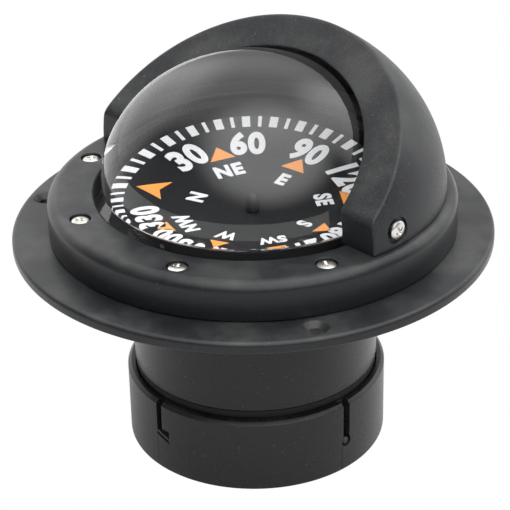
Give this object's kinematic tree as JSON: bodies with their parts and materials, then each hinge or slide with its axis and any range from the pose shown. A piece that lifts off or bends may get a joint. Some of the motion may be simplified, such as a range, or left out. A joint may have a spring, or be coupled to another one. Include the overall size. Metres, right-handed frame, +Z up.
{
  "type": "binnacle compass",
  "caption": "Flush-mounting marine compass: liquid-filled dome with a gimballed card, black round flange, rear sun hood and a deep can with a pull-off bottom cup.",
  "frame": {"origin": "centre of the bottom cup's underside, on the compass's vertical axis", "axes": "+Z up along the compass axis, +Y forward along the boat's heading (the closed back of the hood), -Y towards the helmsman, where the hood is open, +X to starboard"},
  "size_m": [0.145, 0.145, 0.1254],
  "materials": {
    "hard_plastic": "satin charcoal moulding",
    "hood_plastic": "fine-grained matt charcoal moulding",
    "can_plastic": "semi-gloss black moulding",
    "inner_plastic": "matt black",
    "clear_acrylic": "polished clear acrylic",
    "rubber": "matt black rubber",
    "stainless": "bright stainless steel",
    "brass": "turned brass",
    "magnet": "dull nickel plate",
    "card_black": "black card with white and orange marks",
    "float_plastic": "pale grey plastic",
    "jewel": "polished synthetic ruby",
    "lead": "dull grey casting",
    "white_plastic": "white plastic",
    "lamp_red": "clear red lens"
  },
  "bodies": {
    "housing": {"mounting_flange": "hard_plastic", "bezel_ring": "hard_plastic", "hood": "hood_plastic", "can": "can_plastic", "guide_pin_left": "can_plastic", "guide_pin_right": "can_plastic", "cup_seal": "rubber", "dome": "clear_acrylic", "dome_gasket": "rubber", "bowl": "inner_plastic", "filler_plug": "brass", "diaphragm": "rubber", "diaphragm_retainer": "inner_plastic", "roll_pin_front": "stainless", "roll_pin_rear": "stainless", "compensator_frame": "inner_plastic", "lamp_bracket": "inner_plastic", "lamp": "lamp_red", "hood_screw_left": "stainless", "hood_screw_right": "stainless", "bezel_screw_1": "stainless", "bezel_screw_2": "stainless", "bezel_screw_3": "stainless", "bezel_screw_4": "stainless", "bezel_screw_5": "stainless", "bezel_screw_6": "stainless", "bezel_screw_7": "stainless", "bezel_screw_8": "stainless"},
    "cup": {"bottom_cup": "can_plastic", "cable_grommet": "rubber"},
    "gimbal": {"gimbal_ring": "inner_plastic", "pitch_pin_left": "stainless", "pitch_pin_right": "stainless"},
    "cradle": {"cradle": "inner_plastic", "lubber_post": "white_plastic", "pivot_post": "brass", "counterweight": "lead"},
    "card": {"card": "card_black", "card_float": "float_plastic", "jewel_cup": "jewel", "card_peg": "inner_plastic", "card_magnet_left": "magnet", "card_magnet_right": "magnet"},
    "heading_corrector": {"heading_shaft": "brass", "heading_magnet": "magnet"},
    "beam_corrector": {"beam_shaft": "brass", "beam_magnet": "magnet"}
  },
  "joints": [
    {"name": "cup_slide", "type": "slide", "parent": "housing", "child": "cup", "axis": [0, 0, -1], "range_m": [0, 0.0135]},
    {"name": "roll", "type": "hinge", "parent": "housing", "child": "gimbal", "pos_m": [0, 0, 0.0761], "axis": [0, 1, 0], "range_deg": [-30, 30]},
    {"name": "pitch", "type": "hinge", "parent": "gimbal", "child": "cradle", "pos_m": [0, 0, 0.0761], "axis": [1, 0, 0], "range_deg": [-30, 30]},
    {"name": "card_turn", "type": "hinge", "parent": "cradle", "child": "card", "pos_m": [0, 0, 0.0761], "axis": [0, 0, 1], "continuous": true},
    {"name": "heading_turn", "type": "hinge", "parent": "housing", "child": "heading_corrector", "pos_m": [0, 0, 0.018], "axis": [1, 0, 0], "continuous": true},
    {"name": "beam_turn", "type": "hinge", "parent": "housing", "child": "beam_corrector", "pos_m": [0, 0, 0.0133], "axis": [0, 1, 0], "continuous": true}
  ]
}
